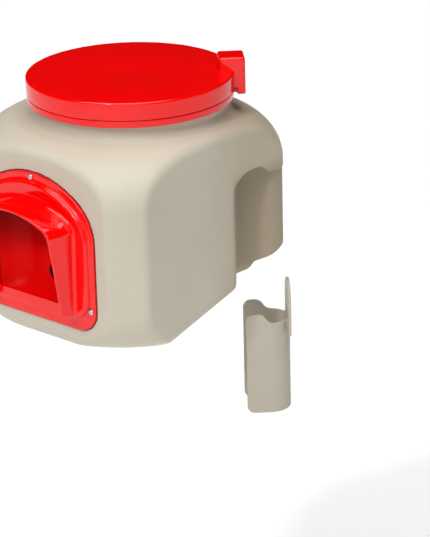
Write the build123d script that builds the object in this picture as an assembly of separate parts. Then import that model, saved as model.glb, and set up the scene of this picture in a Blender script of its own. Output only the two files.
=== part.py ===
"""Hopper feeder for rabbits and poultry that hangs on a bracket screwed to a post.

Millimetres, +Z up. The post's face is the plane y = 0, with the post at y > 0, and the
origin lies on that face, halfway between the bracket's two screw holes. The hopper is
drawn as it is held just before it is lowered onto the bracket.
"""
from build123d import *
from math import atan2, degrees, sqrt
import os

# Bracket: an upright U channel, open away from the post, with a tongue above it
CHANNEL_RADIUS = 22.0        # outside of the round web, and half the channel's width
CHANNEL_WALL = 3.0
CHANNEL_DEPTH = 47.0         # from the post to the tips of the flanges
CHANNEL_BOTTOM = -73.0
CHANNEL_CORNER = 8.0         # round corners of the flanges
RIM_TOP = 27.0               # top of the round web
EAR_TOP = 37.5               # top of the raised ears that hook into the hopper
EAR_REAR = -22.5             # foot of the step behind the ears
EAR_SLOPE = 7.0              # how far that step leans forward
EAR_ROUND = 3.0
TONGUE_FOOT = 12.0
TONGUE_TOP = 68.0
SCREW_PITCH = 100.0          # between the two mounting holes
SCREW_HOLE = 5.0
SCREW_SINK = 9.6             # across the countersink

# Hopper body: a domed drum cut by four upright flats, with one corner towards the post
WALL = 4.0
DRUM_RADIUS = 158.0
DRUM_Y = -162.8              # axis of the domed drum
FLAT_DISTANCE = 124.7        # from the middle of the square of flats to each flat
FLAT_Y = -168.8              # middle of the square of flats
FLOOR_Z = 50.0
SHOULDER_Z = 204.0           # where the drum's side starts to curve in
SHOULDER_INNER = 98.0        # radius at which the shoulder has become level
CROWN_Z = 255.0
EDGE_ROUND = 13.0
FLOOR_ROUND = 16.0
BASE_ROUND = 45.0            # between the drum's own wall and the floor
TUB_GAP = 0.15               # keeps the rounded floor's sides just off the drum's
SLOPE_Y = -134.0             # behind this line the floor rises towards the post
SLOPE_RATE = 0.375

# Hanger column: the rear corner, cut back on both sides so that it fits the channel
COLUMN_HALF = 18.5
COLUMN_REAR = -4.8
POCKET_FRONT = -58.3
POCKET_ROUND = 20.0
HANG_PLAY = 0.6              # between the ears and the pocket's ceiling when hung
LIFT = 165.5                 # how far the hopper stands above its seat

# Filling neck, collar and lid, round about their own axis
NECK_Y = -156.4
NECK_RADIUS = 97.5
NECK_WALL = 4.0
NECK_TOP = 275.2
NECK_ROUND = 9.0
SEAL_TOP = 276.2
COLLAR_RADIUS = 103.9
COLLAR_BORE = 97.8           # slips over the neck
COLLAR_BOTTOM = 271.7
COLLAR_TOP = 278.5
SPIGOT_RADIUS = 93.2
SPIGOT_BOTTOM = 262.0
SEAL_PLAY = 0.2
UPSTAND_RADIUS = 92.5
UPSTAND_TOP = 290.0
COLLAR_LINING = 3.0
COLLAR_SCREWS = 6
COLLAR_SCREW_RING = 95.5
PILOT_DEPTH = 9.0
COLLAR_HEAD = (2.2, 1.2)     # radius, height
COLLAR_SCREW_LENGTH = 10.3
LID_RADIUS = 104.5
LID_WALL = 3.0
LID_BOTTOM = 279.5
LID_TOP = 297.2
LID_ROUND = 2.5
LID_GASKET = (87.5, 93.5, 290.2)   # inner radius, outer radius, underside

# Hinge between the collar's lug and the block on the lid
BLOCK_HALF = 14.0
BLOCK_FRONT = -68.5
BLOCK_REAR = -41.5
BLOCK_BOTTOM = 273.0
BLOCK_TOP = 311.0
BLOCK_ROUND = 3.5
BLOCK_THROAT = 11.0          # half the gap between the cheeks
BLOCK_SKIN = 2.0             # rear wall of the block
CHEEK_FRONT = -50.0          # the cheeks' front edge, below the lid's rim
PIN_Y = -47.3
PIN_Z = 277.0
PIN_RADIUS = 1.75
PIN_END = 12.5               # the bore is blind on this side
PIN_PLAY = 0.08
LUG_HALF = 10.6
LUG_RADIUS = 3.4
LUG_THICK = 3.0              # of the arm, below the pin's axis

# Feeding port: heights are above the origin, and depths are outwards from the flat
RECESS = 1.8                 # the port's flange lies in a shallow recess in the flat
GASKET = 1.0
FLANGE = 3.0
FACE = FLANGE + GASKET - RECESS
STEP_HEIGHT = 5.0            # raised frame on the flange
HOOD_STEP = 20.0             # depth at which the wall turns into the snout
SNOUT_REACH = 31.0           # depth of the snout's rim at RAKE_HEIGHT
RAKE_HEIGHT = 155.0
RAKE_RATE = 0.15             # the rim leans outwards towards the top
SNOUT_END = 40.0             # depth where the untrimmed snout ends
HOOD_WALL = 3.0
HOOD_FOOT = 92.0             # lower end of the hood's side walls
SILL = 96.5                  # lower edge of the opening in the flange
LIP = 2.0                    # the cup's own flange, inside the body
CUP_WALL = 2.5
CUP_DEPTH = 27.0
FEED_HOLE = 8.5
FEED_HOLE_Z = 114.0
SCREW_POINTS = ((0.0, 221.8), (-75.2, 98.0), (75.2, 98.0))
SCREW_RADIUS = 1.5
SCREW_CLEARANCE = 1.7
HEAD_RADIUS = 2.8
HEAD_HEIGHT = 2.0
WASHER = (3.5, 0.6)          # radius, thickness
NUT = (5.5, 2.4)             # across flats, thickness
SCREW_SPARE = 1.5            # the screw's end beyond the nut

# Window shapes as half width, lower edge, crown height, crown radius, haunch radius, and how
# far each side leans inwards towards the lower edge
FLANGE_SHAPE = (80.0, 74.5, 226.0, 100.0, 48.0, 0.0)
RECESS_SHAPE = (80.7, 73.8, 226.7, 100.7, 48.7, 0.0)
LIP_SHAPE = (79.0, 77.0, 225.5, 99.0, 47.0, 0.0)
FRAME_LOW = (75.5, 86.0, 218.3, 95.0, 42.0, 0.0)
FRAME_HIGH = (74.5, 87.0, 216.8, 94.0, 41.0, 0.0)
WALL_LOW = (61.0, HOOD_FOOT, 205.5, 96.0, 18.0, 2.0)
WALL_HIGH = (57.5, HOOD_FOOT, 195.5, 150.0, 12.0, 3.0)
SNOUT_RIM = (50.5, HOOD_FOOT, 198.8, 80.0, 17.0, 0.0)
BODY_HOLE = (58.5, 84.0, 203.0, 100.0, 20.0, 0.0)
FLANGE_HOLE = (55.0, SILL, 198.5, 100.0, 18.0, 2.0)
CUP_MOUTH = (55.0, 88.0, 198.0, 100.0, 18.0, 0.0)
CUP_BACK = (42.0, 96.0, 178.0, 70.0, 24.0, 0.0)
FRAME_CORNER = 26.0
PLATE_CORNER = 24.0

OUT = "parts"
FAR = 400.0                  # longer than anything here
CUT_DEPTH = 12.0             # clear through any wall


def save(node, *solids):
    """Write one sub-part's solids to a STEP file of its own."""
    shape = solids[0] if len(solids) == 1 else Compound(children=list(solids))
    shape.label = node
    export_step(shape, os.path.join(OUT, node + ".step"))


def cylinder(radius, bottom, top, y):
    """An upright cylinder about (0, y)."""
    return Pos(0, y, bottom) * Cylinder(radius, top - bottom, align=(Align.CENTER, Align.CENTER, Align.MIN))


def block(x_range, y_range, z_range):
    """A box between two corners."""
    corners = (x_range, y_range, z_range)
    low = [pair[0] for pair in corners]
    size = [pair[1] - pair[0] for pair in corners]
    return Pos(*low) * Box(*size, align=(Align.MIN, Align.MIN, Align.MIN))


def side_slab(outline, half_width):
    """A side view, drawn as y and z, spread over both sides of x = 0."""
    return extrude(Plane.YZ * outline, half_width, both=True)


# ---------------------------------------------------------------- bracket
def ear_outline(play, lift):
    """The space under the ears' top edge, rim and step; play and lift fit it to the hopper."""
    front = -FAR
    ear = EAR_TOP + play + lift
    rim = RIM_TOP + play + lift
    shape = make_face(Polyline(
        (front, -FAR), (front, ear), (EAR_REAR - EAR_SLOPE + play, ear),
        (EAR_REAR + play, rim), (FAR, rim), (FAR, -FAR), close=True
    ))
    step = shape.vertices().filter_by(lambda v: abs(v.X - EAR_REAR) < 2 * EAR_SLOPE)
    return fillet(step, EAR_ROUND)


def channel_plan(radius):
    """Plan of the channel's outer or inner face: a half round web and straight flanges."""
    web_y = -CHANNEL_RADIUS
    straight = Pos(0, web_y - FAR / 2) * Rectangle(2 * radius, FAR)
    return Pos(0, web_y) * Circle(radius) + straight


def make_bracket():
    plan = channel_plan(CHANNEL_RADIUS) - channel_plan(CHANNEL_RADIUS - CHANNEL_WALL)
    channel = extrude(Plane.XY.offset(CHANNEL_BOTTOM) * plan, EAR_TOP - CHANNEL_BOTTOM)
    height = EAR_TOP - CHANNEL_BOTTOM
    middle = (EAR_TOP + CHANNEL_BOTTOM) / 2
    flank = Pos(-CHANNEL_DEPTH / 2, middle) * Rectangle(CHANNEL_DEPTH, height)
    flank = fillet(flank.vertices().filter_by(lambda v: v.X < -1), CHANNEL_CORNER)
    channel &= side_slab(flank & ear_outline(0, 0), CHANNEL_RADIUS)

    straight = TONGUE_TOP - CHANNEL_RADIUS - TONGUE_FOOT
    face = Pos(0, TONGUE_TOP - CHANNEL_RADIUS) * Circle(CHANNEL_RADIUS)
    face += Pos(0, TONGUE_FOOT + straight / 2) * Rectangle(2 * CHANNEL_RADIUS, straight)
    tongue = extrude(Plane.XZ * face, CHANNEL_WALL)
    bracket = channel + tongue
    bracket -= extrude(Plane.XY.offset(CHANNEL_BOTTOM) * channel_plan(CHANNEL_RADIUS - CHANNEL_WALL), FAR)

    sink_depth = (SCREW_SINK - SCREW_HOLE) / 2
    for z in (-SCREW_PITCH / 2, SCREW_PITCH / 2):
        bracket -= Plane.XZ * Pos(0, z, 0) * Cylinder(SCREW_HOLE / 2, 4 * CHANNEL_WALL)
        sink = Cone(SCREW_HOLE / 2, SCREW_SINK / 2, sink_depth)
        bracket -= Plane.XZ * Pos(0, z, CHANNEL_WALL - sink_depth / 2) * sink
        head_room = Cylinder(SCREW_SINK / 2, 2 * CHANNEL_WALL)
        bracket -= Plane.XZ * Pos(0, z, 2 * CHANNEL_WALL) * head_room
    return bracket


# ---------------------------------------------------------------- hopper body
def drum(inset):
    """The domed drum cut by the four flats; inset makes the matching inner surface."""
    radius = DRUM_RADIUS - inset
    rise = CROWN_Z - SHOULDER_Z - inset
    floor = FLOOR_Z + inset
    profile = Polyline((0, SHOULDER_Z + rise), (0, floor), (radius, floor), (radius, SHOULDER_Z))
    profile += EllipticalCenterArc(
        (SHOULDER_INNER, SHOULDER_Z), radius - SHOULDER_INNER, rise, arc_size=90
    )
    profile += Line((SHOULDER_INNER, SHOULDER_Z + rise), (0, SHOULDER_Z + rise))
    form = Pos(0, DRUM_Y, 0) * revolve(Plane.XZ * make_face(profile), Axis.Z)
    across = 2 * (FLAT_DISTANCE - inset)
    form &= Pos(0, FLAT_Y, 0) * Rot(0, 0, 45) * Box(across, across, FAR + FAR)

    upright = form.faces().filter_by(GeomType.PLANE).filter_by(lambda f: abs(f.normal_at().Z) < 0.1)
    rims = [edge for face in upright for edge in face.edges() if edge.center().Z > floor + 1]
    form = fillet(rims, EDGE_ROUND - inset) & tub(inset) & bowl(inset)
    wedge_top = floor + SLOPE_RATE * (-SLOPE_Y)
    under = floor - 1
    wedge = Polyline((SLOPE_Y, floor), (0, wedge_top), (0, under), (SLOPE_Y, under), close=True)
    return form - side_slab(make_face(wedge), DRUM_RADIUS)


def tub(inset):
    """The drum's plan with a round lower edge, a hair wider than the drum itself."""
    radius = DRUM_RADIUS - inset + TUB_GAP
    across = 2 * (FLAT_DISTANCE - inset + TUB_GAP)
    plan = Pos(0, DRUM_Y) * Circle(radius) & Pos(0, FLAT_Y) * Rot(0, 0, 45) * Rectangle(across, across)
    plan = fillet(plan.vertices(), EDGE_ROUND - inset)
    solid = extrude(Plane.XY.offset(FLOOR_Z + inset) * plan, FAR)
    low = solid.faces().sort_by(Axis.Z)[0].edges()
    return fillet(low, FLOOR_ROUND - inset)


def bowl(inset):
    """The drum again, with the large round that its own wall has at the floor."""
    radius = DRUM_RADIUS - inset + 2 * TUB_GAP
    floor = FLOOR_Z + inset
    corner = BASE_ROUND - inset
    start = radius - corner
    end = floor + corner
    profile = Polyline((start, floor), (0, floor), (0, FAR), (radius, FAR), (radius, end))
    profile += CenterArc((start, end), corner, -90, 90)
    return Pos(0, DRUM_Y, 0) * revolve(Plane.XZ * make_face(profile), Axis.Z)


def pockets(inset):
    """The two spaces beside the column, which the bracket's flanges slide up into."""
    ceiling = EAR_TOP + LIFT + HANG_PLAY + inset
    room = Pos(POCKET_FRONT - inset + FAR / 2, ceiling - FAR / 2) * Rectangle(FAR, FAR)
    room &= ear_outline(HANG_PLAY + inset, LIFT)
    corner = room.vertices().sort_by(Axis.X)[0:2].sort_by(Axis.Y)[-1]
    room = fillet(corner, POCKET_ROUND + inset)
    half = COLUMN_HALF - inset
    centre = COLUMN_REAR - COLUMN_HALF
    column = Pos(0, centre) * Circle(half) + Pos(0, centre - FAR / 2) * Rectangle(2 * half, FAR)
    return side_slab(room, DRUM_RADIUS) - extrude(Plane.XY.offset(-FAR) * column, 2 * FAR)


def port_plane(side):
    """The flat a port is fixed to: x along the flat, y up, z outwards."""
    normal = Vector(side, -1, 0).normalized()
    centre = Vector(0, FLAT_Y, 0) + normal * FLAT_DISTANCE
    return Plane(origin=centre, x_dir=Vector(1, side, 0), z_dir=normal)


def window(shape):
    """A window outline: upright sides under a three-centred arch."""
    half, bottom, top, crown, haunch, lean = shape
    across = half - haunch
    rise = sqrt((crown - haunch) ** 2 - across ** 2)
    spring = top - crown + rise
    turn = degrees(atan2(rise, across))
    outline = Polyline((-half, spring), (lean - half, bottom), (half - lean, bottom), (half, spring))
    outline += CenterArc((across, spring), haunch, 0, turn)
    outline += CenterArc((0, top - crown), crown, turn, 180 - 2 * turn)
    outline += CenterArc((-across, spring), haunch, 180 - turn, turn)
    return make_face(outline)


def grown(shape, amount):
    """The same window, larger by amount all round."""
    half, bottom, top, crown, haunch, lean = shape
    return (half + amount, bottom - amount, top + amount, crown + amount, haunch + amount, lean)


def plate_face(shape, corner):
    """A window with round lower corners."""
    face = window(shape)
    return fillet(face.vertices().group_by(Axis.Y)[0], corner)


def plate(shape, depth, thickness):
    """A window-shaped plate with round lower corners, between depth and depth + thickness."""
    return extrude(Plane.XY.offset(depth) * plate_face(shape, PLATE_CORNER), thickness)


def taper(inner_face, inner_depth, outer_face, outer_depth):
    """A solid that changes from one outline to another between two depths."""
    inner = Plane.XY.offset(inner_depth) * inner_face
    outer = Plane.XY.offset(outer_depth) * outer_face
    return loft([inner, outer], ruled=True)


def at_screws(make):
    """The same small solid at each of a port's screws."""
    return [Pos(x, y, 0) * make for x, y in SCREW_POINTS]


def rod(radius, low, high):
    """A cylinder along z between two depths."""
    return Pos(0, 0, low) * Cylinder(radius, high - low, align=(Align.CENTER, Align.CENTER, Align.MIN))


def make_neck():
    """The solid neck, with a hollow curve where it stands on the crown."""
    foot = NECK_RADIUS + NECK_ROUND + 0.2
    face = make_face(Polyline(
        (0, CROWN_Z - NECK_ROUND), (foot, CROWN_Z - NECK_ROUND), (foot, CROWN_Z),
        (NECK_RADIUS, CROWN_Z), (NECK_RADIUS, NECK_TOP), (0, NECK_TOP), close=True
    ))
    inner_corner = face.vertices().filter_by(lambda v: v.X == NECK_RADIUS and v.Y == CROWN_Z)
    return Pos(0, NECK_Y, 0) * revolve(Plane.XZ * fillet(inner_corner, NECK_ROUND), Axis.Z)


def make_body():
    body = drum(0) - pockets(0)
    body += make_neck()
    body -= drum(WALL) - pockets(WALL)
    body -= cylinder(NECK_RADIUS - NECK_WALL, CROWN_Z - CUT_DEPTH, NECK_TOP + 1, NECK_Y)
    pilot = cylinder(SCREW_RADIUS, NECK_TOP - PILOT_DEPTH, NECK_TOP + 1, COLLAR_SCREW_RING)
    for number in range(COLLAR_SCREWS):
        body -= Pos(0, NECK_Y, 0) * Rot(0, 0, collar_angle(number)) * pilot
    for side in (-1, 1):
        doorway = extrude(Plane.XY.offset(-CUT_DEPTH) * window(BODY_HOLE), 4 * CUT_DEPTH)
        cut = plate(RECESS_SHAPE, -RECESS, FLANGE) + doorway
        for hole in at_screws(rod(SCREW_CLEARANCE, -CUT_DEPTH, WALL)):
            cut += hole
        body -= port_plane(side).location * cut
    return body


def collar_angle(number):
    """Angle of one of the collar's screws, clear of the hinge at the rear."""
    return 360.0 / COLLAR_SCREWS * (number + 0.5)


# ---------------------------------------------------------------- collar and lid
def turned(points, y=NECK_Y):
    """A solid of revolution about the neck's axis, from radius and height pairs."""
    profile = make_face(Polyline(*points, close=True))
    return Pos(0, y, 0) * revolve(Plane.XZ * profile, Axis.Z)


def make_collar():
    collar = turned((
        (COLLAR_BORE, COLLAR_BOTTOM), (COLLAR_RADIUS, COLLAR_BOTTOM), (COLLAR_RADIUS, COLLAR_TOP),
        (UPSTAND_RADIUS, COLLAR_TOP), (UPSTAND_RADIUS, UPSTAND_TOP),
        (UPSTAND_RADIUS - COLLAR_LINING, UPSTAND_TOP), (UPSTAND_RADIUS - COLLAR_LINING, SPIGOT_BOTTOM),
        (SPIGOT_RADIUS, SPIGOT_BOTTOM), (SPIGOT_RADIUS, SEAL_TOP), (COLLAR_BORE, SEAL_TOP)
    ))
    band_y = NECK_Y + COLLAR_RADIUS - COLLAR_LINING
    arm = block((-LUG_HALF, LUG_HALF), (band_y, PIN_Y), (PIN_Z - LUG_THICK, COLLAR_TOP))
    knuckle = Pos(0, PIN_Y, PIN_Z) * Rot(0, 90, 0) * Cylinder(LUG_RADIUS, 2 * LUG_HALF)
    collar += arm + knuckle
    collar -= Pos(0, PIN_Y, PIN_Z) * Rot(0, 90, 0) * Cylinder(PIN_RADIUS + PIN_PLAY, 4 * LUG_HALF)
    hole = cylinder(SCREW_CLEARANCE, SEAL_TOP - 1, COLLAR_TOP + 1, COLLAR_SCREW_RING)
    for number in range(COLLAR_SCREWS):
        collar -= Pos(0, NECK_Y, 0) * Rot(0, 0, collar_angle(number)) * hole
    return collar


def make_neck_seal():
    seal = cylinder(NECK_RADIUS, NECK_TOP, SEAL_TOP, 0)
    seal -= cylinder(SPIGOT_RADIUS + SEAL_PLAY, NECK_TOP, SEAL_TOP, 0)
    hole = cylinder(SCREW_CLEARANCE, NECK_TOP - 1, SEAL_TOP + 1, COLLAR_SCREW_RING)
    for number in range(COLLAR_SCREWS):
        seal -= Rot(0, 0, collar_angle(number)) * hole
    return Pos(0, NECK_Y, 0) * seal


def screw(radius, head_radius, head_height, length):
    """A pan head screw along z, its head standing on z = 0, with a hexagon socket."""
    head = rod(head_radius, 0, head_height)
    head = fillet(head.edges().sort_by(Axis.Z)[-1], head_height / 2)
    socket = extrude(Plane.XY.offset(head_height / 2) * RegularPolygon(head_radius / 2.5, 6), head_height)
    return head + rod(radius, -length, 0) - socket


def make_collar_screws():
    one = screw(SCREW_RADIUS - 0.05, COLLAR_HEAD[0], COLLAR_HEAD[1], COLLAR_SCREW_LENGTH)
    one = Pos(0, COLLAR_SCREW_RING, COLLAR_TOP) * one
    return [Pos(0, NECK_Y, 0) * Rot(0, 0, collar_angle(i)) * one for i in range(COLLAR_SCREWS)]


def make_lid():
    ceiling = LID_TOP - LID_WALL
    lid = turned((
        (0, LID_TOP), (LID_RADIUS, LID_TOP), (LID_RADIUS, LID_BOTTOM),
        (LID_RADIUS - LID_WALL, LID_BOTTOM), (LID_RADIUS - LID_WALL, ceiling), (0, ceiling)
    ))
    crest = lid.edges().filter_by(GeomType.CIRCLE).filter_by(
        lambda e: e.radius > LID_RADIUS - 1 and e.center().Z > LID_TOP - 1
    )
    lid = fillet(crest, LID_ROUND)
    knob = block((-BLOCK_HALF, BLOCK_HALF), (BLOCK_FRONT, BLOCK_REAR), (BLOCK_BOTTOM, BLOCK_TOP))
    knob = fillet(knob.edges().filter_by(lambda e: e.center().Z > BLOCK_BOTTOM + 1), BLOCK_ROUND)
    knob -= block(
        (-BLOCK_THROAT, BLOCK_THROAT), (BLOCK_FRONT + LID_WALL, BLOCK_REAR - BLOCK_SKIN),
        (BLOCK_BOTTOM - 1, BLOCK_TOP - LID_WALL)
    )
    knob -= block((-FAR, FAR), (-FAR, CHEEK_FRONT), (BLOCK_BOTTOM - 1, LID_BOTTOM))
    knob -= cylinder(LID_RADIUS - LID_WALL, BLOCK_BOTTOM - 1, ceiling, NECK_Y)
    lid += knob
    bore = Cylinder(PIN_RADIUS + 0.02, PIN_END + FAR, align=(Align.CENTER, Align.CENTER, Align.MAX))
    return lid - Pos(PIN_END, PIN_Y, PIN_Z) * Rot(0, 90, 0) * bore


def make_lid_gasket():
    inner, outer, bottom = LID_GASKET
    top = LID_TOP - LID_WALL
    return turned(((inner, bottom), (outer, bottom), (outer, top), (inner, top)))


def make_pin():
    length = PIN_END + BLOCK_HALF
    middle = (PIN_END - BLOCK_HALF) / 2
    return Pos(middle, PIN_Y, PIN_Z) * Rot(0, 90, 0) * Cylinder(PIN_RADIUS, length)


# ---------------------------------------------------------------- feeding ports
def rim_depth(z):
    """Depth of the raked plane that the snout's rim lies in."""
    return SNOUT_REACH + RAKE_RATE * (z - RAKE_HEIGHT)


def rim_trim():
    """Everything in front of that plane."""
    outline = Polyline((0, rim_depth(0)), (FAR, rim_depth(FAR)), (FAR, FAR), (0, FAR), close=True)
    return extrude(Plane.YZ * make_face(outline), FAR / 2, both=True)


def hood_form(inset):
    """The wall and snout; inset makes the matching hollow, open below."""
    foot, crease, rim = (window(grown(shape, -inset)) for shape in (WALL_LOW, WALL_HIGH, SNOUT_RIM))
    return taper(foot, FACE - 1, crease, HOOD_STEP) + taper(crease, HOOD_STEP, rim, SNOUT_END)


def make_hood():
    frame_foot = plate_face(FRAME_LOW, FRAME_CORNER)
    frame_top = plate_face(FRAME_HIGH, FRAME_CORNER - 1)
    frame = taper(frame_foot, FACE, frame_top, FACE + STEP_HEIGHT)
    hood = plate(FLANGE_SHAPE, FACE - FLANGE, FLANGE) + frame + (hood_form(0) - rim_trim())
    hood -= hood_form(HOOD_WALL)
    half = WALL_HIGH[0] - WALL_HIGH[5] - HOOD_WALL
    height = HOOD_FOOT + 2 * HOOD_WALL
    hood -= extrude(Plane.XY.offset(FACE) * Pos(0, height / 2) * Rectangle(2 * half, height), FAR)
    hood -= extrude(Plane.XY.offset(-WALL) * window(FLANGE_HOLE), WALL + FACE + 1)
    for hole in at_screws(rod(SCREW_CLEARANCE, -WALL, 2 * WALL)):
        hood -= hole
    return hood


def make_port_gasket():
    gasket = plate(FLANGE_SHAPE, -RECESS, GASKET)
    gasket -= extrude(Plane.XY.offset(-WALL) * window(BODY_HOLE), 2 * WALL)
    for hole in at_screws(rod(SCREW_CLEARANCE, -WALL, WALL)):
        gasket -= hole
    return gasket


def make_cup():
    inner = taper(window(CUP_BACK), CUP_WALL - CUP_DEPTH, window(CUP_MOUTH), -RECESS)
    outer = taper(
        window(grown(CUP_BACK, CUP_WALL)), -CUP_DEPTH, window(grown(CUP_MOUTH, CUP_WALL)), -RECESS
    )
    cup = plate(LIP_SHAPE, -WALL - LIP, LIP) + outer
    cup -= inner
    cup -= Pos(0, FEED_HOLE_Z, 0) * rod(FEED_HOLE, -2 * CUP_DEPTH, 0)
    for hole in at_screws(rod(SCREW_CLEARANCE, -3 * WALL, 0)):
        cup -= hole
    return cup


def make_port_screws():
    length = FACE + WALL + LIP + WASHER[1] + NUT[1] + SCREW_SPARE
    return at_screws(Pos(0, 0, FACE) * screw(SCREW_RADIUS, HEAD_RADIUS, HEAD_HEIGHT, length))


def make_washers():
    radius, thickness = WASHER
    seat = -WALL - LIP
    return at_screws(rod(radius, seat - thickness, seat) - rod(SCREW_CLEARANCE, seat - thickness, seat))


def make_nuts():
    across, thickness = NUT
    top = -WALL - LIP - WASHER[1]
    body = extrude(Plane.XY.offset(top - thickness) * RegularPolygon(across / sqrt(3), 6), thickness)
    return at_screws(body - rod(SCREW_RADIUS + 0.05, top - thickness, top))


def main():
    os.makedirs(OUT, exist_ok=True)
    save("post_bracket", make_bracket())
    save("hopper_body", make_body())
    save("neck_collar", make_collar())
    save("neck_seal", make_neck_seal())
    save("collar_screws", *make_collar_screws())
    save("lid", make_lid())
    save("lid_gasket", make_lid_gasket())
    save("lid_hinge_pin", make_pin())
    for name, side in (("right", 1), ("left", -1)):
        place = port_plane(side).location
        save("port_hood_" + name, place * make_hood())
        save("port_gasket_" + name, place * make_port_gasket())
        save("feed_cup_" + name, place * make_cup())
        save("port_screws_" + name, *[place * solid for solid in make_port_screws()])
        save("port_washers_" + name, *[place * solid for solid in make_washers()])
        save("port_nuts_" + name, *[place * solid for solid in make_nuts()])


if __name__ == "__main__":
    main()
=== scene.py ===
"""Hopper feeder for rabbits and poultry, held just above the bracket on its post."""
import bpy
import math
import numpy as np
from mathutils import Matrix, Vector


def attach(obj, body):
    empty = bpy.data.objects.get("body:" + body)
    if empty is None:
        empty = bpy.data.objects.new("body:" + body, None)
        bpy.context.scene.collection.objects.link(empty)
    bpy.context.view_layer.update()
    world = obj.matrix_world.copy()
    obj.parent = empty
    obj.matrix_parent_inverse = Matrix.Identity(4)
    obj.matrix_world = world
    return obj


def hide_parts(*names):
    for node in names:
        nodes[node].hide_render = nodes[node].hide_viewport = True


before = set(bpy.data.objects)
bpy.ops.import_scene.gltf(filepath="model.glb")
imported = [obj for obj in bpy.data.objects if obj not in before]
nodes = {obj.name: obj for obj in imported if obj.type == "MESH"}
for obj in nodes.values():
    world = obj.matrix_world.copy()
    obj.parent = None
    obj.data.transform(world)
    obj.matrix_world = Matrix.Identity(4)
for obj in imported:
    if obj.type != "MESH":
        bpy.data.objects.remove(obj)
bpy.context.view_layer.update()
scene = bpy.context.scene
MM = 0.001
DIAG = math.sqrt(0.5)
TINY = 1e-6                    # keeps divisions away from zero
TINIER = 1e-9
NEARLY_ONE = 0.9999            # the largest cosine that a slanting edge is rounded at

# ------------------------------------------------------------------ signed distance fields
# Every field takes and gives millimetres and is negative inside the solid.


def round_and(a, b, radius):
    """The overlap of two solids, with a rounded edge."""
    inner = np.minimum(np.maximum(a, b), -radius)
    return inner + np.hypot(np.maximum(a + radius, 0), np.maximum(b + radius, 0))


def round_or(a, b, radius):
    """Two solids joined, with a hollow fillet between them."""
    return -round_and(-a, -b, radius)


def ball_and(a, b, cosine, radius):
    """The overlap of two solids whose faces meet at a slant, with a rolling-ball edge."""
    a1 = a + radius
    b1 = b + radius
    arc = (a1 > cosine * b1) & (b1 > cosine * a1)
    sine_squared = np.maximum(1 - cosine * cosine, 1e-4)
    square = (a1 * a1 + b1 * b1 - 2 * a1 * b1 * cosine) / sine_squared
    return np.where(arc, np.sqrt(np.maximum(square, 0)) - radius, np.maximum(a, b))


def mix(low, high, t):
    """A shape part of the way between two others."""
    return [a + (b - a) * t for a, b in zip(low, high)]


def arch(u, z, shape):
    """Upright sides under a three-centred arch, with no lower edge."""
    half, bottom, top, crown, haunch, lean = shape
    side = np.abs(u)
    across = half - haunch
    rise = np.sqrt((crown - haunch) ** 2 - across ** 2)
    spring = top - crown + rise
    slope = lean * np.clip((spring - z) / (spring - bottom), 0, 1)
    px = side - across
    pz = z - spring
    in_haunch = (pz > 0) & (px * rise > pz * across)
    over = np.hypot(side, z - (top - crown)) - crown
    around = np.hypot(px, pz) - haunch
    return np.where(pz <= 0, side - half + slope, np.where(in_haunch, around, over))


def window(u, z, shape, corner=0.5):
    """The arch with a lower edge and round lower corners."""
    return round_and(arch(u, z, shape), shape[1] - z, corner)


# ------------------------------------------------------------------ meshes from fields
MARGIN_LOW = 2.37              # cells below the box; not whole, so flat faces miss the grid
MARGIN_HIGH = 3
SLAB = 24                      # grid layers sampled at a time
PROBE = 0.05                   # half the distance a slope is measured over
SETTLE_ROUNDS = 3              # times the points are moved onto the surface
SLOPE_LEAST = 0.2
MOVE_MOST = 0.6                # of a cell, in one round
EDGE_SHARE = 0.45              # of an outline's edge, the most that one corner's round takes


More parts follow.
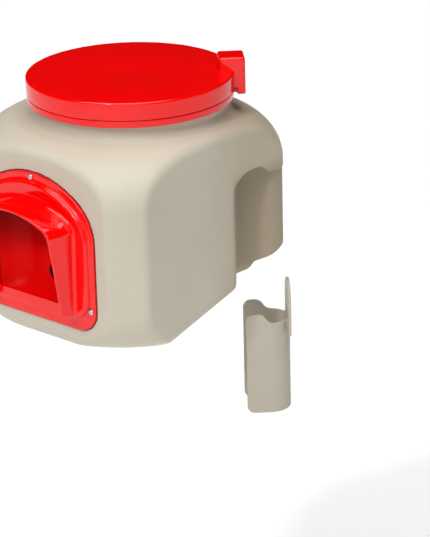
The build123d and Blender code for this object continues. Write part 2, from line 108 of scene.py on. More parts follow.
def surface_net(field, low, high, step):
    """Vertices, quads and normals of the field's zero surface."""
    axes = [np.arange(a - MARGIN_LOW * step, b + MARGIN_HIGH * step, step)
            for a, b in zip(low, high)]
    shape = [len(axis) for axis in axes]
    values = np.empty(shape, np.float32)
    for start in range(0, shape[0], SLAB):
        x, y, z = np.meshgrid(axes[0][start:start + SLAB], axes[1], axes[2], indexing="ij")
        values[start:start + SLAB] = field(x, y, z)
    inside = values < 0
    span = [n - 1 for n in shape]
    corners = np.zeros(span, np.int8)
    for dx in (0, 1):
        for dy in (0, 1):
            for dz in (0, 1):
                corners += inside[dx:span[0] + dx, dy:span[1] + dy, dz:span[2] + dz]
    mixed = (corners > 0) & (corners < 8)
    cells = np.argwhere(mixed)
    number = np.full(mixed.shape, -1)
    number[mixed] = np.arange(len(cells))
    total = np.zeros((len(cells), 3))
    count = np.zeros(len(cells))
    for axis in range(3):
        unit = np.eye(3, dtype=int)[axis]
        others = [np.eye(3, dtype=int)[i] for i in range(3) if i != axis]
        for i in (0, 1):
            for j in (0, 1):
                offset = others[0] * i + others[1] * j
                a = values[tuple((cells + offset).T)]
                b = values[tuple((cells + offset + unit).T)]
                crossed = (a < 0) != (b < 0)
                t = np.where(crossed, a / np.where(crossed, a - b, 1), 0)
                total += crossed[:, None] * (offset + unit * t[:, None])
                count += crossed
    origin = np.array([axis[0] for axis in axes])
    points = origin + step * (cells + total / count[:, None])

    quads = []
    for axis in range(3):
        b, c = (axis + 1) % 3, (axis + 2) % 3
        first = [slice(None)] * 3
        second = [slice(None)] * 3
        first[axis] = slice(0, -1)
        second[axis] = slice(1, None)
        at = np.argwhere(inside[tuple(first)] != inside[tuple(second)])
        step_b = np.eye(3, dtype=int)[b]
        step_c = np.eye(3, dtype=int)[c]
        ring = [at, at - step_b, at - step_b - step_c, at - step_c]
        quad = np.stack([number[tuple(cell.T)] for cell in ring], 1)
        forward = inside[tuple(at.T)]
        quads.append(np.where(forward[:, None], quad, quad[:, ::-1]))
    quads = np.concatenate(quads)

    def gradient(p):
        parts = []
        for i in range(3):
            shift = np.eye(3)[i] * PROBE
            parts.append((field(*(p + shift).T) - field(*(p - shift).T)) / (2 * PROBE))
        return np.stack(parts, 1)

    for _ in range(SETTLE_ROUNDS):
        slope = gradient(points)
        size = np.maximum((slope ** 2).sum(1), SLOPE_LEAST)
        move = -field(*points.T)[:, None] * slope / size[:, None]
        length = np.linalg.norm(move, axis=1, keepdims=True)
        points = points + move * np.minimum(1, MOVE_MOST * step / np.maximum(length, TINIER))
    slope = gradient(points)
    normals = slope / np.maximum(np.linalg.norm(slope, axis=1, keepdims=True), TINY)
    return points, quads, normals


def to_object(name, points, faces, normals=None):
    """A smooth-shaded object in metres from points in millimetres."""
    mesh = bpy.data.meshes.new(name)
    corners = [list(map(int, face)) for face in faces]
    mesh.from_pydata((np.asarray(points) * MM).tolist(), [], corners)
    mesh.update()
    mesh.polygons.foreach_set("use_smooth", [True] * len(mesh.polygons))
    if normals is not None:
        bent = mesh.attributes.new("custom_normal", "FLOAT_VECTOR", "POINT")
        bent.data.foreach_set("vector", np.nan_to_num(normals).astype(np.float32).ravel())
    piece = bpy.data.objects.new(name, mesh)
    scene.collection.objects.link(piece)
    return piece


def softened(corners, radius, count=5):
    """A closed outline with each of its corners rounded."""
    outline = []
    total = len(corners)
    for i, corner in enumerate(corners):
        here = Vector(corner)
        before = Vector(corners[i - 1]) - here
        after = Vector(corners[(i + 1) % total]) - here
        reach = min(radius, EDGE_SHARE * before.length, EDGE_SHARE * after.length)
        start = here + before.normalized() * reach
        end = here + after.normalized() * reach
        for k in range(count + 1):
            t = k / count
            outline.append(tuple(start.lerp(here, t).lerp(here.lerp(end, t), t)))
    return outline


def lathe(outline, centre_y, segments=240):
    """Points and faces of a closed outline turned about the upright axis at (0, centre_y)."""
    size = len(outline)
    points = []
    for i in range(segments):
        angle = math.tau * i / segments
        for radius, z in outline:
            points.append((radius * math.sin(angle), centre_y + radius * math.cos(angle), z))
    faces = []
    for i in range(segments):
        for k in range(size):
            a = i * size + k
            b = i * size + (k + 1) % size
            c = (i + 1) % segments * size + (k + 1) % size
            d = (i + 1) % segments * size + k
            faces.append((a, b, c, d))
    return points, faces


# ------------------------------------------------------------------ hopper body
DRUM_Y = -162.8
DRUM_RADIUS = 158.0
SHOULDER = (98.0, 204.0)
SHOULDER_REACH = (60.0, 51.0)
CROWN = 255.0
FLAT_Y = -168.8
FLAT_DISTANCE = 124.7
FLOOR = 50.0
SLOPE_Y = -134.0
SLOPE_RATE = 0.375
SLOPE_LENGTH = math.hypot(1, SLOPE_RATE)
EDGE_ROUND = 14.0
FLOOR_ROUND = 17.0
BASE_ROUND = 45.0
CREST_ROUND = 60.0             # between the level floor and the rising one
SOFT_ROUND = 70.0              # between the base's round and the rising floor
SOFT_COSINE = 0.45             # that round grows in above this cosine
SOFT_Y = -60.0                 # and in front of this place
SOFT_REACH = 25.0
NECK_Y = -156.4
NECK_RADIUS = 97.5
NECK_MIDDLE = 255.2
NECK_HALF = 20.0
NECK_ROUND = 11.0
BORE_BOTTOM = 232.0
WALL = 4.0
COLUMN_HALF = 18.5
COLUMN_REAR = -4.8
POCKET_FRONT = -58.3
POCKET_TOP = 203.6
POCKET_STEP = 193.1
POCKET_STEP_Y = -21.9
POCKET_STEP_ROUNDS = (3.6, 5.0)
POCKET_ROUND = 20.0
POCKET_EDGE = 2.2
POCKET_FOOT_ROUND = 10.0
COLUMN_ROUND = 7.0
STEP_RUN = 7.0                 # how far in front of the low level's start the slope ends
STEP_RATE = 1.5
STEP_SCALE = 0.832             # makes the slope's field a distance
PORT_RECESS = 1.8
RECESS_CORNER = 24.7
RECESS_EDGE = 0.5
HOLE_DEPTH = 20.0

# each shape: half width, bottom, top, crown radius, haunch radius, lean of the sides
FLANGE_SHAPE = (80.0, 74.5, 226.0, 100.0, 48.0, 0.0)
RECESS_SHAPE = (80.7, 73.8, 226.7, 100.7, 48.7, 0.0)
LIP_SHAPE = (79.0, 77.0, 225.5, 99.0, 47.0, 0.0)
FRAME_LOW = (75.5, 86.0, 218.3, 95.0, 42.0, 0.0)
FRAME_HIGH = (74.5, 87.0, 216.8, 94.0, 41.0, 0.0)
WALL_LOW = (61.0, 92.0, 205.5, 96.0, 18.0, 2.0)
WALL_HIGH = (57.5, 92.0, 195.5, 150.0, 12.0, 3.0)
SNOUT_RIM = (50.5, 92.0, 198.8, 80.0, 17.0, 0.0)
BODY_HOLE = (58.5, 84.0, 203.0, 100.0, 20.0, 0.0)
FLANGE_HOLE = (55.0, 96.5, 198.5, 100.0, 18.0, 2.0)
CUP_MOUTH = (55.0, 88.0, 198.0, 100.0, 18.0, 0.0)
CUP_BACK = (42.0, 96.0, 178.0, 70.0, 24.0, 0.0)


def rising_floor(y, z):
    """The rear of the floor, which climbs towards the column's foot."""
    return (FLOOR + SLOPE_RATE * (y - SLOPE_Y) - z) / SLOPE_LENGTH


def drum(x, y, z):
    """The domed drum, cut by four upright flats, on a floor that rises towards the rear."""
    cy = y - DRUM_Y
    r = np.maximum(np.hypot(x, cy), TINY)
    qr = r - SHOULDER[0]
    qz = z - SHOULDER[1]
    a, b = SHOULDER_REACH
    k0 = np.hypot(qr / a, qz / b)
    k1 = np.maximum(np.hypot(qr / a ** 2, qz / b ** 2), TINIER)
    curved = (qr > 0) & (qz > 0)
    level = FLOOR - z
    low_r = np.maximum(r - DRUM_RADIUS + BASE_ROUND, TINY)
    low_z = np.maximum(level + BASE_ROUND, 0)
    lower = round_and(r - DRUM_RADIUS, level, BASE_ROUND)
    field = np.where(curved, k0 * (k0 - 1) / k1, np.maximum(lower, z - CROWN))
    lean = np.where(curved, qr / a ** 2 / k1, low_r / np.hypot(low_r, low_z))
    fall = np.where(curved, 0.0, low_z / np.hypot(low_r, low_z))

    rising = rising_floor(y, z)
    steep = (lean * cy / r * SLOPE_RATE + fall) / SLOPE_LENGTH
    ease = np.clip((steep - SOFT_COSINE) / SOFT_COSINE, 0, 1)
    ease = ease * np.clip((SOFT_Y - y) / SOFT_REACH, 0, 1)
    soft = FLOOR_ROUND + (SOFT_ROUND - FLOOR_ROUND) * ease * ease * (3 - 2 * ease)
    field = ball_and(field, rising, np.clip(steep, -1, NEARLY_ONE), soft)
    floor = ball_and(level, rising, 1 / SLOPE_LENGTH, CREST_ROUND)
    for sx in (-1, 1):
        for sy in (-1, 1):
            flat = (sx * x + sy * (y - FLAT_Y)) * DIAG - FLAT_DISTANCE
            out = np.maximum(flat + FLOOR_ROUND, 0)
            down = np.maximum(floor + FLOOR_ROUND, 0)
            size = np.maximum(np.hypot(out, down), TINY)
            cosine = (lean * (sx * x + sy * cy) * DIAG / r * out + fall * down) / size
            side = round_and(flat, floor, FLOOR_ROUND)
            field = ball_and(field, side, np.clip(cosine, -1, NEARLY_ONE), EDGE_ROUND)
    return field


def stepped(y, z, top, step, rear, round_outer, round_inner):
    """What lies under a high level in front and a lower one behind, with a slope between."""
    line = rear - STEP_RUN + (top - z) / STEP_RATE
    slope = (y - line) * STEP_SCALE
    return round_or(z - step, round_and(z - top, slope, round_outer), round_inner)


def pocket(x, y, z):
    """The space beside the hanger column."""
    centre = COLUMN_REAR - COLUMN_HALF
    column = np.hypot(x, np.maximum(y - centre, 0)) - COLUMN_HALF
    under = stepped(y, z, POCKET_TOP, POCKET_STEP, POCKET_STEP_Y, *POCKET_STEP_ROUNDS)
    front = POCKET_FRONT - y
    corner = round_and(front, -column, COLUMN_ROUND)
    return np.maximum(np.maximum(round_and(front, under, POCKET_ROUND), -column), corner)


def port_frame(x, y):
    """Distance along the nearer port's flat, and outwards from it."""
    side = np.abs(x)
    return (side + (y - FLAT_Y)) * DIAG, (side - (y - FLAT_Y)) * DIAG - FLAT_DISTANCE


def body_field(x, y, z):
    """The hollow body with its pockets, neck, port recesses and port holes."""
    room = pocket(x, y, z)
    foot = round_and(rising_floor(y, z), -room, POCKET_FOOT_ROUND)
    solid = np.maximum(round_and(drum(x, y, z), -room, POCKET_EDGE), foot)
    around = np.hypot(x, y - NECK_Y)
    neck = np.maximum(around - NECK_RADIUS, np.abs(z - NECK_MIDDLE) - NECK_HALF)
    outer = round_or(solid, neck, NECK_ROUND)
    bore = np.maximum(around - (NECK_RADIUS - WALL), BORE_BOTTOM - z)
    u, w = port_frame(x, y)
    recess = np.maximum(window(u, z, RECESS_SHAPE, RECESS_CORNER), -PORT_RECESS - w)
    hole = np.maximum(window(u, z, BODY_HOLE), -HOLE_DEPTH - w)
    outer = np.maximum(round_and(outer, -recess, RECESS_EDGE), -hole)
    return np.maximum(outer, -np.minimum(solid + WALL, bore))


# ------------------------------------------------------------------ port
# Heights outwards from the body's flat
FACE = 2.2
FRAME_RISE = 5.0
WALL_FOOT = 1.2
CREASE = 20.0
SNOUT_END = 40.0
FLANGE_THICK = 3.0
FLANGE_CORNER = 24.0
FLANGE_EDGE = 0.9
FRAME_CORNER = 26.0
FRAME_EDGE = 1.8
FRAME_FILLET = 2.0
SNOUT_CORNER = 2.0
SNOUT_EDGE = 1.3
SNOUT_FILLET = 2.6
HOOD_WALL = 3.0
THINNED = (1, 0, 1, 1, 1, 0)   # the entries of a shape that shrink by the wall
SILL_STEP = 0.2                # the snout's hollow has no sill further out than this
MOUTH_EDGE = 1.2
RIM_REACH = 31.0
RIM_RAKE = 0.15
RIM_LEVEL = 155.0

CUP_FRONT = -1.8
CUP_TAPER = 22.7
CUP_FLOOR = -24.5
CUP_CORNER = 16.0
CUP_FLOOR_ROUND = 15.0
CUP_WALL = 2.5
LIP_MIDDLE = -5.0
LIP_HALF = 1.0
FEED_HOLE_Z = 114.0
FEED_HOLE_RADIUS = 8.5
FEED_HOLE_EDGE = 0.8


def thinned(shape):
    """The same section, one wall smaller."""
    return [value - HOOD_WALL * inward for value, inward in zip(shape, THINNED)]


def hood_field(u, z, w):
    """The flange, raised frame, wall and raked snout, with the mouth through them."""
    plate = round_and(window(u, z, FLANGE_SHAPE, FLANGE_CORNER), w - FACE, FLANGE_EDGE)
    flange = np.maximum(plate, FACE - FLANGE_THICK - w)
    t = np.clip((w - FACE) / FRAME_RISE, 0, 1.2)
    outline = window(u, z, mix(FRAME_LOW, FRAME_HIGH, t), FRAME_CORNER)
    raised = round_and(outline, w - FACE - FRAME_RISE, FRAME_EDGE)
    base = round_or(flange, raised, FRAME_FILLET)
    to_crease = np.clip((w - WALL_FOOT) / (CREASE - WALL_FOOT), 0, 1)
    to_rim = np.clip((w - CREASE) / (SNOUT_END - CREASE), 0, 1.1)
    section = mix(mix(WALL_LOW, WALL_HIGH, to_crease), SNOUT_RIM, to_rim)
    rim = (w - RIM_REACH - RIM_RAKE * (z - RIM_LEVEL)) / math.hypot(1, RIM_RAKE)
    tube = round_and(arch(u, z, section), section[1] - z, SNOUT_CORNER)
    snout = round_and(tube, rim, SNOUT_EDGE)
    solid = np.maximum(round_or(base, snout, SNOUT_FILLET), FACE - FLANGE_THICK - w)
    past_crease = np.clip((w - CREASE) / (SNOUT_END - CREASE), 0, 1.2)
    bore = mix(thinned(WALL_HIGH), thinned(SNOUT_RIM), past_crease)
    inner = mix(FLANGE_HOLE, bore, np.clip((w - FACE) / (CREASE - FACE), 0, 1))
    sill = np.minimum(FLANGE_HOLE[1] - z, FACE + SILL_STEP - w)
    return round_and(solid, -np.maximum(arch(u, z, inner), sill), MOUTH_EDGE)


def cup_field(u, z, w):
    """The bowl behind the port, with its lip and the feed hole."""
    t = np.clip((CUP_FRONT - w) / CUP_TAPER, -0.2, 1.15)
    outline = window(u, z, mix(CUP_MOUTH, CUP_BACK, t), CUP_CORNER)
    inner = round_and(outline, CUP_FLOOR - w, CUP_FLOOR_ROUND)
    outer = np.maximum(inner - CUP_WALL, w - CUP_FRONT)
    lip = np.maximum(window(u, z, LIP_SHAPE, FLANGE_CORNER), np.abs(w - LIP_MIDDLE) - LIP_HALF)
    hole = np.hypot(u, z - FEED_HOLE_Z) - FEED_HOLE_RADIUS
    return round_and(np.maximum(np.minimum(outer, lip), -inner), -hole, FEED_HOLE_EDGE)


def place_port(points, side):
    """Port coordinates (along, up, outwards) to the row's frame."""
    u, z, w = np.asarray(points).T
    u = u * side
    x = side * DIAG * (FLAT_DISTANCE + w) + DIAG * u
    y = FLAT_Y - DIAG * (FLAT_DISTANCE + w) + side * DIAG * u
    return np.stack([x, y, z], 1)


def port_piece(name, net, side):
    """One port's piece, mirrored for the left side."""
    points, quads, normals = net
    placed = place_port(points, side)
    direction = place_port(normals, side) - place_port(np.zeros((1, 3)), side)
    return to_object(name, placed, quads[:, ::-1] if side < 0 else quads, direction)


# ------------------------------------------------------------------ bracket
CHANNEL_Y = -22.0              # centre of the half-round web
CHANNEL_MIDDLE = 20.5          # radius at the middle of the wall
PLATE_HALF = 1.5               # half the wall's and the tongue's thickness
CHANNEL_FRONT = -47.0
CHANNEL_FOOT = -73.0
CHANNEL_CORNER = 8.0
EAR_TOP = 37.5
WEB_TOP = 27.0
EAR_REAR = -22.5
EAR_ROUND = 4.0
TONGUE_HALF = 22.0
TONGUE_CENTRE = 46.0           # of its round top
TONGUE_FOOT = 12.0
BRACKET_EDGE = 0.9
BRACKET_FILLET = 2.5
SCREW_HEIGHTS = (-50.0, 50.0)
SCREW_HOLE = 2.5
SINK_START = 0.7               # in front of the post's face
SINK_DEPTH = 2.3
SINK_SCALE = 0.8


def bracket_field(x, y, z):
    """The U channel with its ears, the tongue on the post and the countersunk holes."""
    side = np.where(y > CHANNEL_Y, np.hypot(x, y - CHANNEL_Y), np.abs(x))
    wall = np.abs(side - CHANNEL_MIDDLE) - PLATE_HALF
    top = stepped(y, z, EAR_TOP, WEB_TOP, EAR_REAR, EAR_ROUND, EAR_ROUND)
    outline = round_and(CHANNEL_FRONT - y, top, CHANNEL_CORNER)
    outline = round_and(outline, CHANNEL_FOOT - z, CHANNEL_CORNER)
    channel = round_and(wall, outline, BRACKET_EDGE)
    face = np.where(z > TONGUE_CENTRE, np.hypot(x, z - TONGUE_CENTRE), np.abs(x)) - TONGUE_HALF
    plate = np.abs(y + PLATE_HALF) - PLATE_HALF
    tongue = round_and(np.maximum(face, TONGUE_FOOT - z), plate, BRACKET_EDGE)
    bracket = round_or(channel, tongue, BRACKET_FILLET)
    sink = np.clip(-y - SINK_START, 0, SINK_DEPTH) + SCREW_HOLE
    for height in SCREW_HEIGHTS:
        bracket = np.maximum(bracket, -(np.hypot(x, z - height) - sink) * SINK_SCALE)
    return np.maximum(bracket, y)


# ------------------------------------------------------------------ lid and collar
PIN_Y = -47.3
PIN_Z = 277.0
BLOCK_BOX = ((-14.0, -68.5, 266.0), (14.0, -41.5, 311.0), 3.2)
BLOCK_BOTTOM = 273.0
THROAT_BOX = ((-11.0, -65.5, 240.0), (11.0, -43.5, 308.0), 1.0)
CHEEK_FRONT = -50.0
CHEEK_BOTTOM = 279.5
LID_INSIDE = (102.5, 295.5)    # radius and height kept clear of the block
BLOCK_EDGE = 0.6
LUG_BOX = ((-10.6, -56.0, 274.0), (10.6, PIN_Y, 278.5), 0.6)
LUG_HALF = 10.6
KNUCKLE_RADIUS = 3.4
KNUCKLE_EDGE = 0.5
PIN_BORE = 1.83
LUG_FILLET = 1.5


def box_field(x, y, z, low, high, radius):
    """A box with rounded edges."""
    parts = []
    for value, a, b in zip((x, y, z), low, high):
        parts.append(np.abs(value - (a + b) / 2) - (b - a) / 2 + radius)
    outside = np.sqrt(sum(np.maximum(part, 0) ** 2 for part in parts))
    return outside + np.minimum(np.maximum(np.maximum(parts[0], parts[1]), parts[2]), 0) - radius


def block_field(x, y, z):
    """The hollow block on the lid, cut away in front of its cheeks."""
    knob = np.maximum(box_field(x, y, z, *BLOCK_BOX), BLOCK_BOTTOM - z)
    throat = box_field(x, y, z, *THROAT_BOX)
    under = np.maximum(y - CHEEK_FRONT, z - CHEEK_BOTTOM)
    inside = np.maximum(np.hypot(x, y - NECK_Y) - LID_INSIDE[0], z - LID_INSIDE[1])
    knob = round_and(knob, -throat, BLOCK_EDGE)
    knob = round_and(knob, -under, BLOCK_EDGE)
    return np.maximum(knob, -inside)


def lug_field(x, y, z):
    """The collar's arm and the knuckle round the pin."""
    arm = box_field(x, y, z, *LUG_BOX)
    from_pin = np.hypot(y - PIN_Y, z - PIN_Z)
    knuckle = round_and(from_pin - KNUCKLE_RADIUS, np.abs(x) - LUG_HALF, KNUCKLE_EDGE)
    return np.maximum(round_or(arm, knuckle, LUG_FILLET), -(from_pin - PIN_BORE))


def joined(name, parts):
    """One object from several sets of points and faces, which overlap and are not merged."""
    points = []
    faces = []
    start = 0
    for part_points, part_faces in parts:
        points.extend(map(tuple, part_points))
        faces.extend(tuple(int(i) + start for i in face) for face in part_faces)
        start = len(points)
    return to_object(name, points, faces)


# ------------------------------------------------------------------ materials
NOISE_LOW = 0.3                # most of a noise's values lie between these two
NOISE_HIGH = 0.7


def material(name, base, roughness):
    mat = bpy.data.materials.new(name)
    mat.use_nodes = True
    tree = mat.node_tree
    shader = tree.nodes["Principled BSDF"]
    shader.inputs["Base Color"].default_value = (*base, 1)
    shader.inputs["Roughness"].default_value = roughness
    return mat, tree, shader


def noise(tree, scale, detail=4.0, rough=0.5, stretch=None):
    """A noise in metres, seen through the object's own coordinates."""
    coords = tree.nodes.new("ShaderNodeTexCoord")
    node = tree.nodes.new("ShaderNodeTexNoise")
    node.inputs["Scale"].default_value = scale
    node.inputs["Detail"].default_value = detail
    node.inputs["Roughness"].default_value = rough
    if stretch is None:
        tree.links.new(coords.outputs["Object"], node.inputs["Vector"])
    else:
        mapping = tree.nodes.new("ShaderNodeMapping")
        mapping.inputs["Scale"].default_value = stretch
        tree.links.new(coords.outputs["Object"], mapping.inputs["Vector"])
        tree.links.new(mapping.outputs["Vector"], node.inputs["Vector"])
    return node.outputs["Fac"]


def ramp(tree, value, stops):
    """Colours along a value; stops are (place, colour)."""
    node = tree.nodes.new("ShaderNodeValToRGB")
    elements = node.color_ramp.elements
    for i, (place, colour) in enumerate(stops):
        element = elements[i] if i < 2 else elements.new(place)
        element.position = place
        element.color = (*colour, 1)
    tree.links.new(value, node.inputs["Fac"])
    return node.outputs["Color"]


def spread(tree, value, low, high):
    """A noise's usual range, stretched over low to high."""
    node = tree.nodes.new("ShaderNodeMapRange")
    node.inputs["From Min"].default_value = NOISE_LOW
    node.inputs["From Max"].default_value = NOISE_HIGH
    node.inputs["To Min"].default_value = low
    node.inputs["To Max"].default_value = high
    tree.links.new(value, node.inputs["Value"])
    return node.outputs["Result"]


def bump(tree, shader, layers):
    """Stacks bumps; each layer is (height, strength, distance in metres)."""
    last = None
    for height, strength, distance in layers:
        node = tree.nodes.new("ShaderNodeBump")
        node.inputs["Strength"].default_value = strength
        node.inputs["Distance"].default_value = distance
        tree.links.new(height, node.inputs["Height"])
        if last is not None:
            tree.links.new(last, node.inputs["Normal"])
        last = node.outputs["Normal"]
    tree.links.new(last, shader.inputs["Normal"])


def along(tree, axis, start, end):
    """0 to 1 between two places on one of the object's own axes, in metres."""
    coords = tree.nodes.new("ShaderNodeTexCoord")
    split = tree.nodes.new("ShaderNodeSeparateXYZ")
    node = tree.nodes.new("ShaderNodeMapRange")
    node.interpolation_type = "SMOOTHSTEP"
    node.inputs["From Min"].default_value = start
    node.inputs["From Max"].default_value = end
    tree.links.new(coords.outputs["Object"], split.inputs["Vector"])
    tree.links.new(split.outputs[axis], node.inputs["Value"])
    return node.outputs["Result"]


def tinted(tree, shader, amount, tint):
    """Multiplies the base colour by a tint, as far as the amount says."""
    node = tree.nodes.new("ShaderNodeMix")
    node.data_type = "RGBA"
    node.blend_type = "MULTIPLY"
    old = shader.inputs["Base Color"].links[0].from_socket
    tree.links.new(amount, node.inputs[0])
    tree.links.new(old, node.inputs[6])
    node.inputs[7].default_value = (*tint, 1)
    tree.links.new(node.outputs[2], shader.inputs["Base Color"])


def product(tree, a, b):
    node = tree.nodes.new("ShaderNodeMath")
    node.operation = "MULTIPLY"
    tree.links.new(a, node.inputs[0])
    tree.links.new(b, node.inputs[1])
    return node.outputs[0]


def shade(colour, factor):
    return tuple(c * factor for c in colour)


def moulded(name, base, roughness, grain_scale, grain_depth):
    """Satin moulded plastic: faint flow mottling and a fine pebbled skin."""
    mat, tree, shader = material(name, base, roughness)
    cloud = noise(tree, 9.0, 5.0, 0.55)
    speck = noise(tree, 900.0, 2.0, 0.6)
    stops = ((0.30, shade(base, 0.955)), (0.55, base), (0.75, shade(base, 1.04)))
    tree.links.new(ramp(tree, cloud, stops), shader.inputs["Base Color"])
    sheen = spread(tree, speck, roughness - 0.05, roughness + 0.06)
    tree.links.new(sheen, shader.inputs["Roughness"])
    grain = noise(tree, grain_scale, 3.0, 0.55)
    sag = noise(tree, 22.0, 2.0, 0.4)
    bump(tree, shader, ((grain, 0.30, grain_depth), (sag, 0.25, 0.0004)))
    shader.inputs["Specular IOR Level"].default_value = 0.42
    return mat


def glossy(name, base, roughness):
    """Injection moulded gloss plastic: tiny ripples, a few faint scuffs, a hard clear shine."""
    mat, tree, shader = material(name, base, roughness)
    cloud = noise(tree, 14.0, 4.0, 0.5)
    stops = ((0.30, shade(base, 0.96)), (0.60, base), (0.80, shade(base, 1.03)))
    tree.links.new(ramp(tree, cloud, stops), shader.inputs["Base Color"])
    scuff = noise(tree, 60.0, 6.0, 0.7, (1.0, 7.0, 1.0))
    sheen = spread(tree, scuff, roughness * 0.7, roughness * 1.6)
    tree.links.new(sheen, shader.inputs["Roughness"])
    ripple = noise(tree, 45.0, 2.0, 0.4)
    fine = noise(tree, 1400.0, 2.0, 0.5)
    bump(tree, shader, ((ripple, 0.10, 0.0003), (fine, 0.04, 0.00004)))
    return mat


def steel(name):
    mat, tree, shader = material(name, (0.62, 0.62, 0.60), 0.3)
    shader.inputs["Metallic"].default_value = 1.0
    tint = noise(tree, 120.0, 3.0, 0.5)
    stops = ((0.3, (0.50, 0.50, 0.49)), (0.7, (0.72, 0.72, 0.70)))
    tree.links.new(ramp(tree, tint, stops), shader.inputs["Base Color"])
    scratch = noise(tree, 500.0, 4.0, 0.6, (1.0, 1.0, 12.0))
    tree.links.new(spread(tree, scratch, 0.22, 0.42), shader.inputs["Roughness"])
    bump(tree, shader, ((scratch, 0.15, 0.00005),))
    return mat


def rubber(name):
    mat, tree, shader = material(name, (0.03, 0.03, 0.03), 0.7)
    bloom = noise(tree, 70.0, 5.0, 0.6)
    stops = ((0.3, (0.022, 0.022, 0.022)), (0.7, (0.05, 0.05, 0.048)))
    tree.links.new(ramp(tree, bloom, stops), shader.inputs["Base Color"])
    tree.links.new(spread(tree, bloom, 0.6, 0.8), shader.inputs["Roughness"])
    bump(tree, shader, ((noise(tree, 1500.0, 2.0), 0.2, 0.00006),))
    return mat


BEIGE = (0.530, 0.487, 0.392)
BRACKET = (0.455, 0.415, 0.335)
RED = (0.86, 0.001, 0.001)
CUP_RED = (0.80, 0.001, 0.001)
REAR_TINT = (0.86, 0.80, 0.74)
POCKET_TINT = (0.74, 0.70, 0.66)
CUP_TINT = (0.22, 0.2, 0.2)
body_mat = moulded("beige_moulded", BEIGE, 0.50, 650.0, 0.00010)
body_tree = body_mat.node_tree
body_shader = body_tree.nodes["Principled BSDF"]
# painted shade: the rear is darker, as it is beside a post, most of all in the hanger pockets
tinted(body_tree, body_shader, along(body_tree, "Y", -0.10, -0.04), REAR_TINT)
behind = along(body_tree, "Y", -0.064, -0.056)
low = along(body_tree, "Z", 0.212, 0.190)
tinted(body_tree, body_shader, product(body_tree, behind, low), POCKET_TINT)
bracket_mat = moulded("bracket_moulded", BRACKET, 0.52, 800.0, 0.00008)
red_mat = glossy("red_gloss", RED, 0.075)
cup_mat = glossy("red_cup", CUP_RED, 0.34)
cup_tree = cup_mat.node_tree
cup_shader = cup_tree.nodes["Principled BSDF"]
cup_shader.inputs["Specular IOR Level"].default_value = 0.06
# painted shade: the cups get darker upwards, under the port's snout
tinted(cup_tree, cup_shader, along(cup_tree, "Z", 0.115, 0.185), CUP_TINT)
steel_mat = steel("screw_steel")
rubber_mat = rubber("seal_rubber")


def dress(piece, mat):
    piece.data.materials.clear()
    piece.data.materials.append(mat)


def stands_for(piece, node, body, mat):
    """A finished piece that takes a CAD node's place."""
    dress(piece, mat)
    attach(piece, body)
    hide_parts(node)


# ------------------------------------------------------------------ build
body = to_object("body_shell", *surface_net(body_field, (-158, -321, 50), (158, -4, 276), 1.8))
stands_for(body, "hopper_body", "hopper", body_mat)

hood_net = surface_net(hood_field, (-80, 74.5, -1), (80, 226, 38), 1.0)
cup_net = surface_net(cup_field, (-79, 77, -27), (79, 226, -1.8), 1.2)
for word, side in (("right", 1), ("left", -1)):
    hood = port_piece("hood_" + word, hood_net, side)
    stands_for(hood, "port_hood_" + word, "hopper", red_mat)
    cup = port_piece("cup_" + word, cup_net, side)
    stands_for(cup, "feed_cup_" + word, "hopper", cup_mat)
    for kind in ("screws", "washers", "nuts"):
        dress(nodes["port_" + kind + "_" + word], steel_mat)
    dress(nodes["port_gasket_" + word], rubber_mat)

bracket = to_object("bracket", *surface_net(bracket_field, (-22, -47, -73), (22, 0, 68), 0.9))
stands_for(bracket, "post_bracket", "bracket", bracket_mat)

lid_outline = softened([
    (0.01, 297.2), (104.5, 297.2), (104.5, 278.9), (101.5, 278.9), (101.5, 294.2), (0.01, 294.2)
], 2.5)
block_net = surface_net(block_field, (-14, -68.5, 273), (14, -41.5, 311), 0.7)
lid = joined("lid_shell", [lathe(lid_outline, NECK_Y), block_net[:2]])
stands_for(lid, "lid", "lid_set", red_mat)

collar_outline = softened([
    (97.8, 271.7), (103.9, 271.7), (103.9, 278.5), (92.5, 278.5), (92.5, 290.0),
    (89.5, 290.0), (89.5, 262.0), (93.2, 262.0), (93.2, 276.2), (97.8, 276.2)
], 0.8, 4)
lug_net = surface_net(lug_field, (-10.6, -56, 273.6), (10.6, -43.9, 280.4), 0.6)
collar = joined("collar_ring", [lathe(collar_outline, NECK_Y), lug_net[:2]])
stands_for(collar, "neck_collar", "hopper", red_mat)
dress(nodes["collar_screws"], steel_mat)
dress(nodes["lid_hinge_pin"], steel_mat)
dress(nodes["neck_seal"], rubber_mat)
dress(nodes["lid_gasket"], rubber_mat)

# ------------------------------------------------------------------ floor, light and camera
CENTRE = Vector((0.0, -0.15, 0.12))
FLOOR_SIZE = 14.0
FLOOR_LEVEL = -0.55


def stage_floor():
    """A large pale floor, far enough down to stay out of the part's way."""
    mesh = bpy.data.meshes.new("floor")
    signs = ((-1, -1), (1, -1), (1, 1), (-1, 1))
    corners = [(sx * FLOOR_SIZE, sy * FLOOR_SIZE, FLOOR_LEVEL) for sx, sy in signs]
    mesh.from_pydata(corners, [], [(0, 1, 2, 3)])
    floor = bpy.data.objects.new("floor", mesh)
    scene.collection.objects.link(floor)
    mat, tree, shader = material("floor_paint", (0.95, 0.95, 0.95), 0.9)
    shader.inputs["Specular IOR Level"].default_value = 0.1
    floor.data.materials.append(mat)


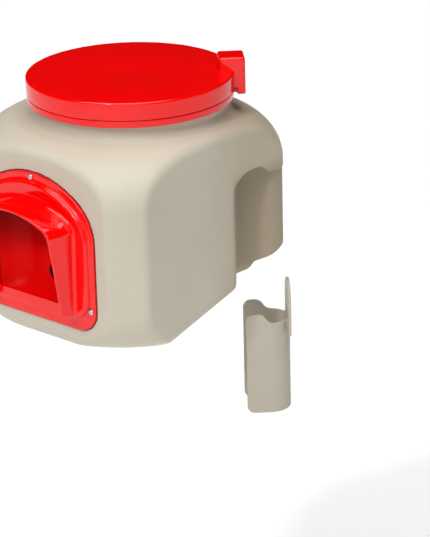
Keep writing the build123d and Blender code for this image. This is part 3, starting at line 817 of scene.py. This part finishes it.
def softbox(name, position, size, power):
    """A rectangular lamp that faces the part."""
    light = bpy.data.lights.new(name, "AREA")
    light.shape = "RECTANGLE"
    light.size, light.size_y = size
    light.energy = power
    lamp = bpy.data.objects.new(name, light)
    lamp.location = CENTRE + Vector(position)
    lamp.rotation_euler = (-Vector(position)).to_track_quat("-Z", "Y").to_euler()
    scene.collection.objects.link(lamp)


def soft_sun(name, direction, irradiance, spread_degrees):
    """Light from one direction, blurred over an angle."""
    light = bpy.data.lights.new(name, "SUN")
    light.energy = irradiance
    light.angle = math.radians(spread_degrees)
    lamp = bpy.data.objects.new(name, light)
    lamp.rotation_euler = Vector(direction).to_track_quat("Z", "Y").to_euler()
    scene.collection.objects.link(lamp)


stage_floor()
soft_sun("overhead", (0.25, -0.05, 1.0), 2.9, 60.0)
soft_sun("sparkle", (0.62, -0.37, 0.68), 0.75, 4.0)
softbox("front", (2.9, -0.7, 0.9), (3.0, 2.4), 15)
softbox("strip", (0.9, -1.3, 1.5), (0.9, 0.06), 5)
softbox("glint", (1.5, 0.9, 1.0), (0.16, 0.16), 1.2)

world = bpy.data.worlds.new("studio")
world.use_nodes = True
world.node_tree.nodes["Background"].inputs["Color"].default_value = (1, 1, 1, 1)
world.node_tree.nodes["Background"].inputs["Strength"].default_value = 0.01
scene.world = world
scene.view_settings.view_transform = "Standard"

AZIMUTH = math.radians(86.84)
ELEVATION = math.radians(21.27)
ROLL = math.radians(-1.46)
CAMERA_PLACE = (2.60407, -0.21996, 1.09738)
back = Vector((
    math.sin(AZIMUTH) * math.cos(ELEVATION),
    -math.cos(AZIMUTH) * math.cos(ELEVATION),
    math.sin(ELEVATION)
))
right = Vector((math.cos(AZIMUTH), math.sin(AZIMUTH), 0))
up = back.cross(right)
image_right = math.cos(ROLL) * right + math.sin(ROLL) * up
image_up = math.cos(ROLL) * up - math.sin(ROLL) * right
camera_data = bpy.data.cameras.new("camera")
camera_data.sensor_width = 36.0
camera_data.lens = 182.55
camera_data.clip_end = 100.0
camera = bpy.data.objects.new("camera", camera_data)
place = Matrix((image_right, image_up, back)).transposed().to_4x4()
place.translation = Vector(CAMERA_PLACE)
camera.matrix_world = place
scene.collection.objects.link(camera)
scene.camera = camera
